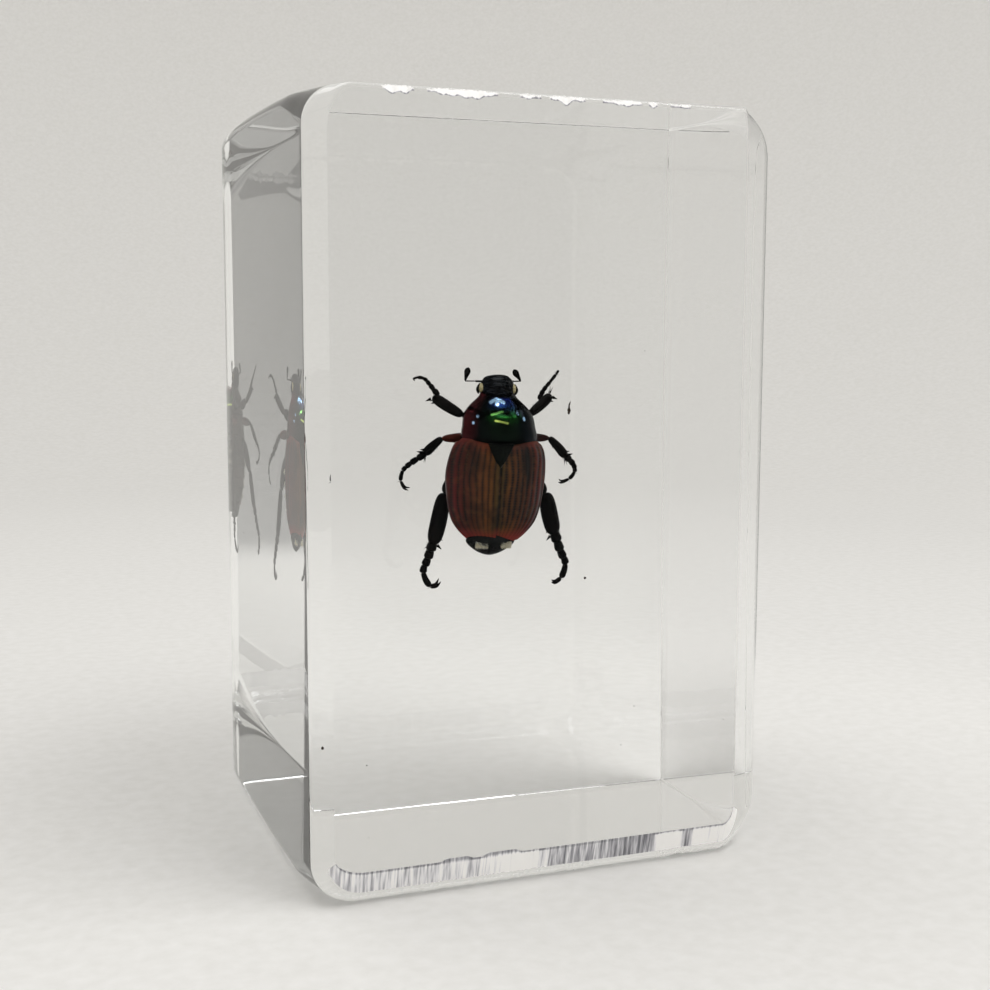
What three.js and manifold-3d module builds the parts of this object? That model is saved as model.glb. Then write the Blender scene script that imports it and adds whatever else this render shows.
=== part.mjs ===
// Clear cast resin block that holds a beetle: one solid, 60 mm tall at the front.
// Millimetres, +Z up, origin at the middle of the underside, front face towards -Y.
import * as THREE from 'three';
import { mergeVertices } from 'three/addons/utils/BufferGeometryUtils.js';
import Module from 'manifold-3d';

// Outer size
const blockWidth = 38.6;
const blockDepth = 32.4;
const frontHeight = 60;
const topRise = 1.0; // the top slopes up to the back by this much

// The long edges that run from front to back
const leftCornerRadius = 3.0;
const rightCornerRadius = 2.4;

// A flat bevel down each side of the front face, rounded where it meets the side
const bevelAngle = THREE.MathUtils.degToRad(32);
const leftBevel = { inset: 1.55, radius: 0.8 };
const rightBevel = { inset: 3.5, radius: 1.75 };

// The worked rim along the bottom of the front face
const rimHeight = 2.7;
const rimSlope = THREE.MathUtils.degToRad(25);
const rimFootRadius = 1.0;

const topFrontRadius = 0.4;

// Facets
const outlineSegments = 10;
const bevelSegments = 6;
const smallSegments = 4;

const resinColour = 0xe6eae8;
const prismOverhang = 4;

const wasm = await Module();
wasm.setup();

// Points of an arc about a centre, from one angle to another, both ends included.
function arc(centreU, centreV, radius, fromAngle, toAngle, segments) {
  return Array.from({ length: segments + 1 }, (_, i) => {
    const angle = fromAngle + ((toAngle - fromAngle) * i) / segments;
    return new THREE.Vector2(
      centreU + radius * Math.cos(angle),
      centreV + radius * Math.sin(angle),
    );
  });
}

// A prism of the outline, centred on the origin along its length.
function prism(points, length) {
  const geometry = new THREE.ExtrudeGeometry(new THREE.Shape(points), {
    depth: length,
    bevelEnabled: false,
    steps: 1,
  });
  geometry.translate(0, 0, -length / 2);
  return geometry;
}

function toSolid(geometry) {
  geometry.deleteAttribute('normal');
  geometry.deleteAttribute('uv');
  const merged = mergeVertices(geometry, 1e-5);
  return new wasm.Manifold(
    new wasm.Mesh({
      numProp: 3,
      vertProperties: new Float32Array(merged.attributes.position.array),
      triVerts: new Uint32Array(merged.index.array),
    }),
  );
}

function toGeometry(solid) {
  const mesh = solid.getMesh();
  const geometry = new THREE.BufferGeometry();
  geometry.setAttribute('position', new THREE.BufferAttribute(mesh.vertProperties, 3));
  geometry.setIndex(new THREE.BufferAttribute(mesh.triVerts, 1));
  geometry.computeVertexNormals();
  return geometry;
}

const halfWidth = blockWidth / 2;
const halfDepth = blockDepth / 2;
const quarter = Math.PI / 2;

// Front outline: a rounded rectangle in X and Z, run from front to back under the sloping top.
function outlinePrism() {
  const right = halfWidth - rightCornerRadius;
  const left = -halfWidth + leftCornerRadius;
  const points = [
    ...arc(right, rightCornerRadius, rightCornerRadius, -quarter, 0, outlineSegments),
    ...arc(right, frontHeight - rightCornerRadius, rightCornerRadius, 0, quarter, outlineSegments),
    ...arc(left, frontHeight - leftCornerRadius, leftCornerRadius, quarter, 2 * quarter, outlineSegments),
    ...arc(left, leftCornerRadius, leftCornerRadius, 2 * quarter, 3 * quarter, outlineSegments),
  ];
  const geometry = prism(points, blockDepth + prismOverhang);
  geometry.rotateX(quarter);
  const position = geometry.attributes.position;
  for (let i = 0; i < position.count; i += 1) {
    if (position.getZ(i) > frontHeight / 2) {
      const rise = (topRise * (position.getY(i) + halfDepth)) / blockDepth;
      position.setZ(i, position.getZ(i) + rise);
    }
  }
  return geometry;
}

// Right front edge in plan, from the crease on the front face to the side face.
function bevelledEdge({ inset, radius }) {
  const turn = quarter - bevelAngle;
  const bevelWidth = inset - radius * (1 - Math.cos(turn));
  const bevelBack = bevelWidth * Math.tan(bevelAngle);
  return [
    new THREE.Vector2(halfWidth - inset, -halfDepth),
    ...arc(
      halfWidth - radius,
      -halfDepth + bevelBack + radius * Math.sin(turn),
      radius, -turn, 0, bevelSegments,
    ),
  ];
}

// Plan: a rectangle with its two front corners bevelled, the left one mirrored from the right.
function planPrism() {
  const leftEdge = bevelledEdge(leftBevel)
    .reverse()
    .map((point) => new THREE.Vector2(-point.x, point.y));
  const points = [
    ...bevelledEdge(rightBevel),
    new THREE.Vector2(halfWidth, halfDepth),
    new THREE.Vector2(-halfWidth, halfDepth),
    ...leftEdge,
  ];
  const geometry = prism(points, frontHeight + prismOverhang);
  geometry.translate(0, 0, frontHeight / 2);
  return geometry;
}

// Side view in Y and Z: the rim slopes back below the front face and rounds into the underside.
function sidePrism() {
  const slopeEndHeight = rimFootRadius * (1 - Math.sin(rimSlope));
  const slopeEndBack = (rimHeight - slopeEndHeight) * Math.tan(rimSlope);
  const footCentreY = -halfDepth + slopeEndBack + rimFootRadius * Math.cos(rimSlope);
  const points = [
    new THREE.Vector2(-halfDepth, rimHeight),
    ...arc(
      footCentreY, rimFootRadius,
      rimFootRadius, 2 * quarter + rimSlope, 3 * quarter, smallSegments,
    ),
    new THREE.Vector2(halfDepth, 0),
    new THREE.Vector2(halfDepth, frontHeight + prismOverhang),
    ...arc(
      -halfDepth + topFrontRadius, frontHeight - topFrontRadius,
      topFrontRadius, quarter, 2 * quarter, smallSegments,
    ),
  ];
  const geometry = prism(points, blockWidth + prismOverhang);
  // The outline's U and V become Y and Z, and its length runs along X.
  geometry.applyMatrix4(
    new THREE.Matrix4().makeBasis(
      new THREE.Vector3(0, 1, 0),
      new THREE.Vector3(0, 0, 1),
      new THREE.Vector3(1, 0, 0),
    ),
  );
  return geometry;
}

function resinBlock() {
  const solid = toSolid(outlinePrism())
    .intersect(toSolid(planPrism()))
    .intersect(toSolid(sidePrism()));
  const resin = new THREE.MeshStandardMaterial({
    color: resinColour,
    roughness: 0.04,
    metalness: 0,
    transparent: true,
    opacity: 0.35,
  });
  const mesh = new THREE.Mesh(toGeometry(solid), resin);
  mesh.name = 'resin_block';
  return mesh;
}

const insectInResin = new THREE.Group();
insectInResin.add(resinBlock());

export default insectInResin;
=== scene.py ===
import math
import random

import bmesh
import bpy
from mathutils import Matrix, Vector, noise


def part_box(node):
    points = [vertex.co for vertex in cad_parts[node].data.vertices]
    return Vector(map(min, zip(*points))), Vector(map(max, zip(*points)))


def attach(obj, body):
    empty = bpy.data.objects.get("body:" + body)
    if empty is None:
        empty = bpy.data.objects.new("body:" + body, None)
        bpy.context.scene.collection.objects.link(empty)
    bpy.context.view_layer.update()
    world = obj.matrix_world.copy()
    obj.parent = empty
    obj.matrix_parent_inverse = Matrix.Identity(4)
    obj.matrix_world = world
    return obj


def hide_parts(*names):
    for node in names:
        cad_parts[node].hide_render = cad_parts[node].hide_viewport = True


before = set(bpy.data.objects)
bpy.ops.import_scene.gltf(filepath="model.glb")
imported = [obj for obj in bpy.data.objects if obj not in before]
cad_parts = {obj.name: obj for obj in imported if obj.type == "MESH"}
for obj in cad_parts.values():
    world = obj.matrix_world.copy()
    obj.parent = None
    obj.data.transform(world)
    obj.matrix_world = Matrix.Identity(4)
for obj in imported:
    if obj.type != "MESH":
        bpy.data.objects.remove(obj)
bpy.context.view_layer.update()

mm = 0.001
scene = bpy.context.scene


# helpers

def between(low, high, share):
    return low + (high - low) * share


def clamp(value, low=0.0, high=1.0):
    return max(low, min(high, value))


def easeStep(low, high, value):
    share = clamp((value - low) / (high - low))
    return share * share * (3 - 2 * share)


def bump(value, centre, width):
    return math.exp(-((value - centre) / width) ** 2)


def runThrough(stops, at):
    # a smooth run through (place, value) stops, flat past both ends
    if at <= stops[0][0]:
        return stops[0][1]
    if at >= stops[-1][0]:
        return stops[-1][1]
    index = max(i for i in range(len(stops) - 1) if stops[i][0] <= at)
    (x0, y0), (x1, y1) = stops[index], stops[index + 1]

    def slope(i):
        if i == 0 or i == len(stops) - 1:
            near = stops[1] if i == 0 else stops[-2]
            return (stops[i][1] - near[1]) / (stops[i][0] - near[0])
        before, after = stops[i - 1], stops[i + 1]
        return (after[1] - before[1]) / (after[0] - before[0])

    length = x1 - x0
    share = (at - x0) / length
    square, cube = share * share, share * share * share
    value = (2 * cube - 3 * square + 1) * y0 + (cube - 2 * square + share) * length * slope(index)
    return value + (3 * square - 2 * cube) * y1 + (cube - square) * length * slope(index + 1)


def curvePoint(points, share):
    # a Catmull-Rom curve through the points, share 0 to 1 along it
    places = [Vector(p) for p in points]
    along = clamp(share) * (len(places) - 1)
    i = min(int(along), len(places) - 2)
    t = along - i
    a = places[i - 1] if i > 0 else places[0] * 2 - places[1]
    b, c = places[i], places[i + 1]
    d = places[i + 2] if i + 2 < len(places) else places[-1] * 2 - places[-2]
    return 0.5 * (2 * b + (c - a) * t + (2 * a - 5 * b + 4 * c - d) * t * t
                  + (3 * b - a - 3 * c + d) * t * t * t)


def makePiece(name, bm, material, place, sharpAngle=None):
    # millimetres in, metres out; the place goes into the mesh
    bmesh.ops.transform(bm, matrix=place, verts=bm.verts)
    bmesh.ops.scale(bm, vec=(mm, mm, mm), verts=bm.verts)
    bmesh.ops.recalc_face_normals(bm, faces=bm.faces)
    if sharpAngle is not None:
        for edge in bm.edges:
            if len(edge.link_faces) == 2 and edge.calc_face_angle(0) > sharpAngle:
                edge.smooth = False
    for face in bm.faces:
        face.smooth = True
    mesh = bpy.data.meshes.new(name)
    bm.to_mesh(mesh)
    bm.free()
    piece = bpy.data.objects.new(name, mesh)
    scene.collection.objects.link(piece)
    piece.data.materials.append(material)
    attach(piece, "root")
    return piece


# nodes

def startMaterial(name):
    material = bpy.data.materials.new(name)
    material.use_nodes = True
    tree = material.node_tree
    shader = tree.nodes["Principled BSDF"]
    return material, tree, shader


def addNode(tree, kind, **settings):
    node = tree.nodes.new(kind)
    for key, value in settings.items():
        setattr(node, key, value)
    return node


def objectNoise(tree, scale, detail):
    # scale is in features per metre
    coords = addNode(tree, "ShaderNodeTexCoord")
    texture = addNode(tree, "ShaderNodeTexNoise")
    texture.inputs["Scale"].default_value = scale
    texture.inputs["Detail"].default_value = detail
    tree.links.new(coords.outputs["Object"], texture.inputs["Vector"])
    return texture.outputs["Fac"]


def ramp(tree, source, stops):
    node = addNode(tree, "ShaderNodeValToRGB")
    elements = node.color_ramp.elements
    while len(elements) < len(stops):
        elements.new(0.5)
    for element, (place, colour) in zip(elements, stops):
        element.position = place
        element.color = (*colour, 1)
    tree.links.new(source, node.inputs["Fac"])
    return node.outputs["Color"]


def mapTo(tree, source, low, high, fromLow=0.3, fromHigh=0.7):
    node = addNode(tree, "ShaderNodeMapRange")
    node.inputs["From Min"].default_value = fromLow
    node.inputs["From Max"].default_value = fromHigh
    node.inputs["To Min"].default_value = low
    node.inputs["To Max"].default_value = high
    tree.links.new(source, node.inputs["Value"])
    return node.outputs["Result"]


def mixColour(tree, share, first, second):
    node = addNode(tree, "ShaderNodeMix", data_type="RGBA", blend_type="MIX")
    for socket, value in (("Factor", share), ("A", first), ("B", second)):
        target = next(s for s in node.inputs if s.name == socket and s.enabled)
        if isinstance(value, (int, float)):
            target.default_value = value
        elif isinstance(value, tuple):
            target.default_value = (*value, 1)
        else:
            tree.links.new(value, target)
    return next(s for s in node.outputs if s.enabled)


def addBump(tree, shader, height, strength, distance):
    node = addNode(tree, "ShaderNodeBump")
    node.inputs["Strength"].default_value = strength
    node.inputs["Distance"].default_value = distance
    tree.links.new(height, node.inputs["Height"])
    tree.links.new(node.outputs["Normal"], shader.inputs["Normal"])


def attributeValue(tree, name):
    return addNode(tree, "ShaderNodeAttribute", attribute_name=name).outputs["Fac"]


# camera

cameraFacts = {
    "place": (-42.64, -114.57, 42.76),   # mm
    "turn": 20.835,                      # degrees towards +X
    "tip": 6.609,                        # degrees down
    "roll": 0.145,
    "lens": 51.61,
}


def makeCamera():
    data = bpy.data.cameras.new("camera")
    data.lens = cameraFacts["lens"]
    data.sensor_width = 36
    data.clip_start = 0.005
    data.clip_end = 10
    camera = bpy.data.objects.new("camera", data)
    turn = Matrix.Rotation(-math.radians(cameraFacts["turn"]), 4, "Z")
    tip = Matrix.Rotation(math.radians(90 - cameraFacts["tip"]), 4, "X")
    roll = Matrix.Rotation(math.radians(cameraFacts["roll"]), 4, "Z")
    place = Matrix.Translation(Vector(cameraFacts["place"]) * mm)
    camera.matrix_world = place @ turn @ tip @ roll
    scene.collection.objects.link(camera)
    scene.camera = camera


makeCamera()
print("camera placed")


# the block

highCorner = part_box("resin_block")[1]

block = {
    "halfWidth": highCorner.x / mm,
    "halfDepth": highCorner.y / mm,
    "backHeight": highCorner.z / mm,
    "frontHeight": 60.0,
    "leftBevel": (1.55, 0.6, math.radians(38)),    # inset on the front face, rounding, angle
    "rightBevel": (3.5, 2.5, math.radians(32)),
    "rimHeight": 2.7,
    "rimSlope": math.radians(14),
    "footHeight": 0.85,                            # where the rim's facet rounds into the foot
    "footSlope": math.radians(22),
    "facetSteepness": 2.6,
    "topRadius": 0.4,
    "backRadius": 0.12,
    "ribDepth": 0.085,
    "ribPitch": 0.36,
    "chipDepth": 0.45,
    "outlineReach": 3.0,                           # how far the outline's corners reach, for its points
    "cornerSteps": 36,
    "lowCuts": 260,                                # cuts in the lower, upper and upright outline edges
    "topCuts": 220,
    "uprightCuts": 50,
    "capMargin": 0.05,
    "creaseAngle": math.radians(14),
}

# radius of each long edge at (depth, radius) stops, with the side and level it runs along
longEdges = {
    "lowLeft": (-1, 0, ((0, 4.0), (3, 3.0), (8, 1.6), (32, 1.6))),
    "lowRight": (1, 0, ((0, 4.5), (4, 4.0), (12, 1.6), (21, 0.25), (32, 0.2))),
    "topRight": (1, 1, ((0, 3.8), (4, 3.4), (12, 1.5), (21, 0.25), (32, 0.2))),
    "topLeft": (-1, 1, ((0, 3.5), (3, 2.6), (8, 1.4), (28, 1.6), (32, 2.2))),
}

# long shallow chips along the top front edge: middle, length, depth
topFacets = (
    (-12.6, 2.8, 0.80), (-7.75, 6.3, 0.88), (-2.6, 2.6, 0.52),
    (0.45, 3.2, 0.85), (5.1, 4.0, 0.75), (7.5, 0.8, 0.90), (10.2, 4.4, 0.46),
)

# narrow facets along the top of the rim: middle, length, height
rimNicks = ((-8.2, 2.8, 0.20), (-4.5, 3.5, 0.24))


def arcInset(radius, reach, depth):
    return radius - math.sqrt(max(radius ** 2 - (reach - depth) ** 2, 0)) if depth < reach else 0.0


def sideInset(bevel, depth):
    # a flat bevel from the front face, then a rounding into the side
    inset, radius, angle = bevel
    turn = math.pi / 2 - angle
    bevelBack = (inset - radius * (1 - math.cos(turn))) * math.tan(angle)
    if depth <= bevelBack:
        return inset - depth / math.tan(angle)
    return arcInset(radius, bevelBack + radius * math.sin(turn), depth)


def facetInset(x, depth):
    inset = 0.0
    for middle, length, deep in topFacets:
        across = (x - middle) / (length / 2)
        if abs(across) < 1:
            uneven = 0.75 + 0.5 * noise.noise((x * 1.3, middle, 0))
            lens = deep * uneven * (1 - across ** 2) ** 0.7
            inset = max(inset, lens - depth * block["facetSteepness"])
    return inset


def topInset(x, depth):
    return max(arcInset(block["topRadius"], block["topRadius"], depth), facetInset(x, depth))


def rimInset(x, depth):
    slope, foot, height = block["rimSlope"], block["footSlope"], block["footHeight"]
    breakBack = (block["rimHeight"] - height) * math.tan(slope)
    if depth <= breakBack:
        inset = block["rimHeight"] - depth / math.tan(slope)
        for middle, length, rise in rimNicks:
            across = abs(x - middle) / (length / 2)
            if across < 1:
                edge = easeStep(1.0, 0.55, across)
                inset = max(inset, block["rimHeight"] + rise * edge - depth / math.tan(slope / 2))
        return inset
    radius = height / (1 - math.sin(foot))
    return arcInset(radius, breakBack + radius * math.cos(foot), depth)


def rimRoughness(x, depth):
    # fine ridges run down the rim; a broken patch at its right end
    within = easeStep(0.0, 0.12, depth) * (1 - easeStep(0.95, 1.5, depth))
    worked = 1 - 0.75 * easeStep(2.0, 8.0, x)
    pitch = block["ribPitch"]
    broadRidge = noise.noise((x / pitch * 1.7, depth * 0.35, 2.0))
    fineRidge = noise.noise((x / pitch * 4.1, depth * 0.6, 7.0))
    ridge = broadRidge + 0.5 * fineRidge
    chipped = bump(x, 11.5, 0.8) + 0.35 * easeStep(11.5, 13.0, x)
    broadChip = abs(noise.noise((x * 0.9, depth * 1.4, 4.0)))
    fineChip = abs(noise.noise((x * 2.6, depth * 3.0, 9.0)))
    chip = broadChip + 0.5 * fineChip
    nearFoot = easeStep(0.3, 0.9, depth) * (1 - easeStep(1.9, 3.2, depth))
    return ridge * block["ribDepth"] * within * worked + chip * block["chipDepth"] * chipped * nearFoot


def isWorked(outward, x, depth):
    # true where the surface was cut or chipped and never polished again
    if outward.z > 0:
        cut = facetInset(x, depth)
        return cut > 0.03 and cut > arcInset(block["topRadius"], block["topRadius"], depth) - 0.03
    breakBack = (block["rimHeight"] - block["footHeight"]) * math.tan(block["rimSlope"])
    return outward.z < -0.3 and depth < breakBack


# how white the worked rim is at places along it, its ground white together with painted highlight
rimWhiteAndHighlight = (
    (-17.5, 0.55), (-12, 0.60), (-6, 0.72), (-3.6, 1.0), (-1.8, 0.92), (-0.4, 0.50), (4, 0.42), (8.4, 0.36),
    (9.0, 1.0), (10.9, 1.0), (11.5, 0.30), (12.4, 0.75), (17, 0.85),
)


def edgePoint(name, outward, depth):
    # where the rounding of one long edge has this way out
    side, level, stops = longEdges[name]
    radius = runThrough(stops, depth)
    rise = (block["backHeight"] - block["frontHeight"]) * depth / (2 * block["halfDepth"])
    centreX = side * (block["halfWidth"] - radius)
    centreZ = block["frontHeight"] + rise - radius if level else radius
    return centreX + radius * outward.x, centreZ + radius * outward.z


def placeOutline(facts, depth):
    first, second, share, outward = facts
    firstPoint = edgePoint(first, outward, depth)
    secondPoint = edgePoint(second, outward, depth)
    x, z = (between(a, b, share) for a, b in zip(firstPoint, secondPoint))
    insetX = sideInset(block["leftBevel"] if outward.x < 0 else block["rightBevel"], depth)
    if outward.z > 0:
        insetZ = topInset(x, depth)
    else:
        insetZ = rimInset(x, depth) + rimRoughness(x, depth)
    backInset = arcInset(block["backRadius"], block["backRadius"], 2 * block["halfDepth"] - depth)
    insetX = max(insetX, backInset)
    insetZ = max(insetZ, backInset)
    return Vector((x - outward.x * insetX, depth - block["halfDepth"], z - outward.z * insetZ))


def blockStations():
    # depths behind the front face: close together at the worked edges, wide apart in the middle
    total = block["halfDepth"] * 2
    rim = [0.06 * i for i in range(1, 34)]
    front = [2.0 + 0.2 * i for i in range(1, 13)]
    middle = [5.0 + i for i in range(0, 18)] + [24.0, 27.0, 30.0]
    backSteps = 4
    back = [total - block["backRadius"] * (1 - math.sin(math.pi / 2 * i / backSteps))
            for i in range(backSteps + 1)]
    return rim + front + middle + back


def outlineFacts(vert, reach):
    # the long edges a point of the outline lies on or between, its share from one to the other
    # and its way out
    halfWidth, height = block["halfWidth"], block["frontHeight"]
    x, z = vert.co.x, vert.co.z
    side = "Right" if x > 0 else "Left"
    level = "top" if z > height / 2 else "low"
    sideways = abs(x) > halfWidth - reach - 1e-4
    upright = abs(z - height / 2) > height / 2 - reach - 1e-4
    if sideways and upright:
        centreX = math.copysign(halfWidth - reach, x)
        centre = Vector((centreX, 0, height - reach if level == "top" else reach))
        outward = (Vector((x, 0, z)) - centre).normalized()
        return level + side, level + side, 0.0, outward
    if upright:
        share = (x + halfWidth - reach) / (2 * (halfWidth - reach))
        return level + "Left", level + "Right", share, Vector((0, 0, math.copysign(1, z - height / 2)))
    share = (z - reach) / (height - 2 * reach)
    return "low" + side, "top" + side, share, Vector((math.copysign(1, x), 0, 0))


def makeBlock(material, workedMaterial):
    halfWidth, height, reach = block["halfWidth"], block["frontHeight"], block["outlineReach"]
    bm = bmesh.new()
    groundWhiteAndPaintedHighlight = bm.verts.layers.float.new("groundWhiteAndPaintedHighlight")
    bmesh.ops.create_grid(bm, x_segments=1, y_segments=1, size=1.0)
    bmesh.ops.rotate(bm, cent=(0, 0, 0), matrix=Matrix.Rotation(math.pi / 2, 3, "X"), verts=bm.verts)
    bmesh.ops.scale(bm, vec=(halfWidth, 1, height / 2), verts=bm.verts)
    bmesh.ops.translate(bm, vec=(0, 0, height / 2), verts=bm.verts)
    bmesh.ops.bevel(bm, geom=list(bm.verts), offset=reach, offset_type="OFFSET", affect="VERTICES",
                    segments=block["cornerSteps"], profile=0.5, material=-1)
    longSides = [e for e in bm.edges if e.calc_length() > halfWidth / 2]
    for edge in longSides:
        start, end = edge.verts
        if abs(start.co.z - end.co.z) > 1:
            cuts = block["uprightCuts"]
        else:
            cuts = block["lowCuts"] if start.co.z < height / 2 else block["topCuts"]
        bmesh.ops.subdivide_edges(bm, edges=[edge], cuts=cuts)
    bm.faces.ensure_lookup_table()
    frontFace = bm.faces[0]
    outline = {vert: outlineFacts(vert, reach) for vert in frontFace.verts}
    for vert, facts in outline.items():
        vert.co = placeOutline(facts, 0.0)
    face = frontFace
    for depth in blockStations():
        # the cap moves back one station and leaves a wall behind it; of the old caps only the front stays
        oldCap = face
        grown = bmesh.ops.extrude_face_region(bm, geom=[oldCap], use_keep_orig=True)
        newVerts = [g for g in grown["geom"] if isinstance(g, bmesh.types.BMVert)]
        face = next(g for g in grown["geom"] if isinstance(g, bmesh.types.BMFace))
        fresh = {}
        for vert in newVerts:
            source = next(e.other_vert(vert) for e in vert.link_edges if e.other_vert(vert) in outline)
            fresh[vert] = outline[source]
        for vert, facts in fresh.items():
            vert.co = placeOutline(facts, depth)
            # the rim's white, and the full white of the top chips, is partly painted highlight
            vert[groundWhiteAndPaintedHighlight] = runThrough(rimWhiteAndHighlight, vert.co.x) if facts[3].z < 0 else 1.0
            if isWorked(facts[3], vert.co.x, depth):
                for wall in vert.link_faces:
                    if wall is not face and wall is not oldCap:
                        wall.material_index = 1
        outline = fresh
        if oldCap is not frontFace:
            bm.faces.remove(oldCap)
    for cap in [f for f in bm.faces if len(f.verts) > 4]:
        bmesh.ops.inset_region(bm, faces=[cap], thickness=block["capMargin"], depth=0)
    piece = makePiece("resin_block_clear", bm, material, Matrix.Identity(4), block["creaseAngle"])
    piece.data.materials.append(workedMaterial)
    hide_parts("resin_block")
    return piece


def clearResin():
    material, tree, shader = startMaterial("clearCastResin")
    shader.inputs["Base Color"].default_value = (1, 1, 1, 1)
    shader.inputs["Transmission Weight"].default_value = 1.0
    shader.inputs["IOR"].default_value = 1.5
    buffing = objectNoise(tree, 900, 6)
    tree.links.new(mapTo(tree, buffing, 0.0, 0.012), shader.inputs["Roughness"])
    addBump(tree, shader, objectNoise(tree, 60, 2), 0.02, 0.0004)
    absorb = addNode(tree, "ShaderNodeVolumeAbsorption")
    absorb.inputs["Color"].default_value = (0.88, 0.93, 0.90, 1)
    absorb.inputs["Density"].default_value = 3.0
    tree.links.new(absorb.outputs["Volume"], tree.nodes["Material Output"].inputs["Volume"])
    return material


def groundResin():
    # white, with fine streaks running down it; no light gets through. Its white streaks are partly the
    # ground surface's own white and partly painted highlight, its dark streaks painted shade of the ribs
    material, tree, shader = startMaterial("groundCastResin")
    coords = addNode(tree, "ShaderNodeTexCoord")
    stretch = addNode(tree, "ShaderNodeMapping")
    stretch.inputs["Scale"].default_value = (4600, 500, 300)
    tree.links.new(coords.outputs["Object"], stretch.inputs["Vector"])
    streaks = addNode(tree, "ShaderNodeTexNoise")
    streaks.inputs["Scale"].default_value = 1.0
    streaks.inputs["Detail"].default_value = 3.0
    tree.links.new(stretch.outputs["Vector"], streaks.inputs["Vector"])
    level = mapTo(tree, attributeValue(tree, "groundWhiteAndPaintedHighlight"), -0.13, 0.34, 0.3, 1.0)
    whitened = addNode(tree, "ShaderNodeMath", operation="ADD")
    tree.links.new(streaks.outputs["Fac"], whitened.inputs[0])
    tree.links.new(level, whitened.inputs[1])
    # dark streaks are painted shade, white streaks partly painted highlight
    colour = ramp(tree, whitened.outputs["Value"], (
        (0.26, (0.16, 0.16, 0.18)), (0.44, (0.46, 0.455, 0.49)),
        (0.58, (0.84, 0.835, 0.86)), (0.70, (1.0, 0.99, 0.98))))
    tree.links.new(colour, shader.inputs["Base Color"])
    shader.inputs["Roughness"].default_value = 0.35
    addBump(tree, shader, streaks.outputs["Fac"], 0.5, 0.00006)
    return material


resinBlock = makeBlock(clearResin(), groundResin())
print("block cast:", len(resinBlock.data.polygons), "faces")


# floor, walls, light

studio = {
    "floorRadius": 0.26,
    "wallRadius": 0.55,
    "wallHeight": 0.6,
    "floorGap": 0.00003,   # keeps the underside clear of the floor
    "worldStrength": 0.37,
}

softboxes = {
    "keySoftbox": {
        "place": (0.17, -0.20, 0.50), "target": (0, -0.04, 0.02), "size": (0.40, 0.30), "power": 1.45,
    },
    "topFill": {
        "place": (-0.12, 0.10, 0.54), "target": (-0.03, 0.0, 0.0), "size": (0.3, 0.3), "power": 0.68,
    },
}

sheetBend = 0.03
sheetGap = 0.0004

# sheets round the block, soft at every edge, that show only in its reflections or through it: the dark ones
# paint dark reflections into the block, the grey one paints shade seen through it;
# bearings are degrees right of the front, lengths in metres
sheets = {
    # paints dark reflections into the block's front
    "darkReflectionSheet": {
        "bearings": (3, 10, 44, 54), "near": (0.085, 0.125), "far": 0.25, "top": (0.13, 0.19),
        "tone": 0.03, "mirrored": True,
    },
    # paints shade seen through the block
    "greyShadeSheet": {
        "bearings": (1, 5, 27, 33), "near": (0.115, 0.15), "far": 0.25, "top": (0.12, 0.16),
        "tone": 0.22, "mirrored": False,
    },
    # paints the dark reflections along the block's right edges
    "rightDarkReflectionSheet": {
        "bearings": (90, 100, 146, 154), "near": (0.06, 0.09), "far": 0.25, "top": (0.15, 0.20),
        "tone": 0.02, "mirrored": True,
    },
}


def makeFloor():
    material, tree, shader = startMaterial("palePaper")
    grain = objectNoise(tree, 700, 5)
    paper = ramp(tree, grain, ((0.3, (0.78, 0.77, 0.745)), (0.7, (0.83, 0.82, 0.80))))
    tree.links.new(paper, shader.inputs["Base Color"])
    shader.inputs["Roughness"].default_value = 0.9
    addBump(tree, shader, grain, 0.15, 0.0002)
    bm = bmesh.new()
    bend = studio["wallRadius"] - studio["floorRadius"]
    line = [bm.verts.new((0, 0, 0)), bm.verts.new((studio["floorRadius"], 0, 0))]
    for i in range(1, 17):
        angle = math.pi / 2 * i / 16
        out = studio["floorRadius"] + bend * math.sin(angle)
        line.append(bm.verts.new((out, 0, bend * (1 - math.cos(angle)))))
    line.append(bm.verts.new((studio["wallRadius"], 0, studio["wallHeight"])))
    edges = [bm.edges.new(pair) for pair in zip(line, line[1:])]
    bmesh.ops.spin(bm, geom=line + edges, cent=(0, 0, 0), axis=(0, 0, 1), angle=math.tau, steps=96,
                   use_merge=True)
    bmesh.ops.remove_doubles(bm, verts=bm.verts, dist=1e-6)
    bmesh.ops.translate(bm, vec=(0, 0, -studio["floorGap"]), verts=bm.verts)
    bmesh.ops.recalc_face_normals(bm, faces=bm.faces)
    for face in bm.faces:
        face.smooth = True
    mesh = bpy.data.meshes.new("floor")
    bm.to_mesh(mesh)
    bm.free()
    floor = bpy.data.objects.new("floor", mesh)
    mesh.materials.append(material)
    scene.collection.objects.link(floor)


def addSoftbox(name, facts):
    data = bpy.data.lights.new(name, "AREA")
    data.shape = "RECTANGLE"
    data.size, data.size_y = facts["size"]
    data.energy = facts["power"]
    light = bpy.data.objects.new(name, data)
    light.location = facts["place"]
    aim = Vector(facts["target"]) - Vector(facts["place"])
    light.rotation_euler = aim.to_track_quat("-Z", "Y").to_euler()
    scene.collection.objects.link(light)


def makeLight():
    world = bpy.data.worlds.new("studioAir")
    world.use_nodes = True
    world.node_tree.nodes["Background"].inputs["Color"].default_value = (1.0, 0.99, 0.97, 1)
    world.node_tree.nodes["Background"].inputs["Strength"].default_value = studio["worldStrength"]
    scene.world = world
    for name, facts in softboxes.items():
        addSoftbox(name, facts)
    scene.view_settings.view_transform = "Standard"


def sheetPoint(facts, run):
    # along the floor, round a small bend and up, as distance and height
    bend = sheetBend
    flat = facts["far"] - bend - facts["near"][0]
    curve = bend * math.pi / 2
    if run < flat:
        return facts["near"][0] + run, 0.0
    if run < flat + curve:
        angle = (run - flat) / bend
        return facts["far"] - bend + bend * math.sin(angle), bend * (1 - math.cos(angle))
    return facts["far"], bend + run - flat - curve


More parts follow.
